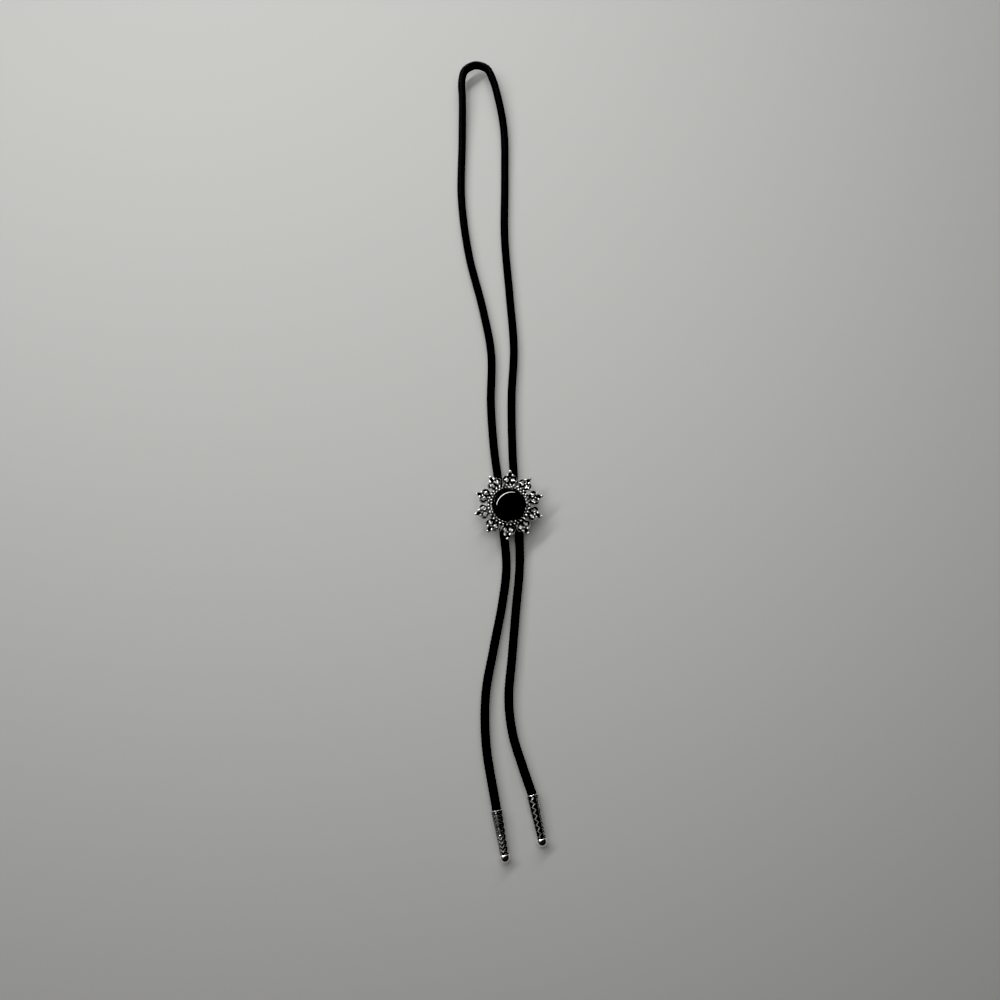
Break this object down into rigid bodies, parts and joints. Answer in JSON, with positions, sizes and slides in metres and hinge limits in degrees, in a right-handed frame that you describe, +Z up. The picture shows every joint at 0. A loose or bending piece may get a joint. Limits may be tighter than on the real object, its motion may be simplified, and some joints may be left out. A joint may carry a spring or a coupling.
{
  "type": "bolo tie",
  "caption": "Black braided cord tie with tapered metal tips and a round filigree slide holding a domed black stone.",
  "frame": {"origin": "on the surface the tie lies on, under the middle of the slide", "axes": "+Z up from the surface, out of the stone's dome; +Y along the clip's two channels, from the tips towards the loop; +X to the right, seen from above with the loop at the top"},
  "size_m": [0.0497, 0.4699, 0.0132],
  "materials": {
    "antique_silver": "antiqued cast silver plate, bright on the granules and wires, black in the recesses",
    "black_stone": "polished opaque black cabochon",
    "clip_metal": "plain satin nickel-plated metal",
    "braided_cord": "round black braid, matte with a faint sheen",
    "tip_silver": "antiqued silver plate with embossed bands and a polished ball end"
  },
  "bodies": {
    "root": {"filigree_setting": "antique_silver", "stone": "black_stone", "bolo_clip": "clip_metal", "cord": "braided_cord", "tip_left": "tip_silver", "tip_right": "tip_silver"}
  },
  "joints": []
}
